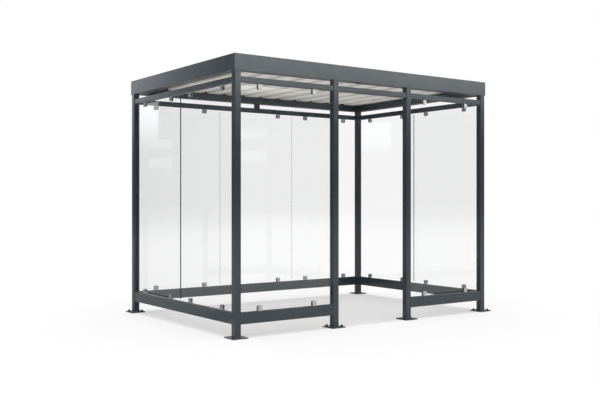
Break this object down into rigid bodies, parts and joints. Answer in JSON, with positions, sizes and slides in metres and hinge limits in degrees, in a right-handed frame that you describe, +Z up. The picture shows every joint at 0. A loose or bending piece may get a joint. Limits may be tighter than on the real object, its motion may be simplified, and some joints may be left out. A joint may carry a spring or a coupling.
{
  "type": "bus shelter",
  "caption": "Open-fronted bus shelter: a steel tube frame on base plates, clamped glass panes at the rear, sides and beside the entrance, and a flat ribbed roof behind a fascia.",
  "frame": {"origin": "middle of the shelter's plan, on the ground under the base plates", "axes": "+X along the front to the right as seen by a person who faces the entrance, +Y to the rear, +Z up"},
  "size_m": [3.15, 2.18, 2.41],
  "materials": {
    "frame_coat": "satin anthracite powder coat",
    "roof_sheet_coat": "satin grey-white coil coat",
    "clear_glass": "clear toughened glass",
    "clamp_steel": "satin stainless steel",
    "black_rubber": "matt"
  },
  "bodies": {
    "root": {"base_plates": "frame_coat", "bottom_rail_front_left": "frame_coat", "bottom_rail_front_right": "frame_coat", "bottom_rail_left": "frame_coat", "bottom_rail_rear": "frame_coat", "bottom_rail_right": "frame_coat", "clamp_covers": "clamp_steel", "clamp_gaskets": "black_rubber", "clamps_front": "clamp_steel", "clamps_left": "clamp_steel", "clamps_rear": "clamp_steel", "clamps_right": "clamp_steel", "fascia_front": "frame_coat", "fascia_left": "frame_coat", "fascia_rear": "frame_coat", "fascia_right": "frame_coat", "pane_front_left": "clear_glass", "pane_front_right": "clear_glass", "pane_left_front": "clear_glass", "pane_left_rear": "clear_glass", "pane_rear_left": "clear_glass", "pane_rear_middle": "clear_glass", "pane_rear_right": "clear_glass", "pane_right_front": "clear_glass", "pane_right_rear": "clear_glass", "post_entrance_left": "frame_coat", "post_entrance_right": "frame_coat", "post_front_left": "frame_coat", "post_front_right": "frame_coat", "post_rear_left": "frame_coat", "post_rear_right": "frame_coat", "rear_rail_hanger": "frame_coat", "roof_beam_front": "frame_coat", "roof_beam_left": "frame_coat", "roof_beam_rear": "frame_coat", "roof_beam_right": "frame_coat", "roof_sheet_1": "roof_sheet_coat", "roof_sheet_2": "roof_sheet_coat", "roof_sheet_3": "roof_sheet_coat", "top_rail_entrance": "frame_coat", "top_rail_front_left": "frame_coat", "top_rail_front_right": "frame_coat", "top_rail_left": "frame_coat", "top_rail_rear": "frame_coat", "top_rail_right": "frame_coat"}
  },
  "joints": []
}
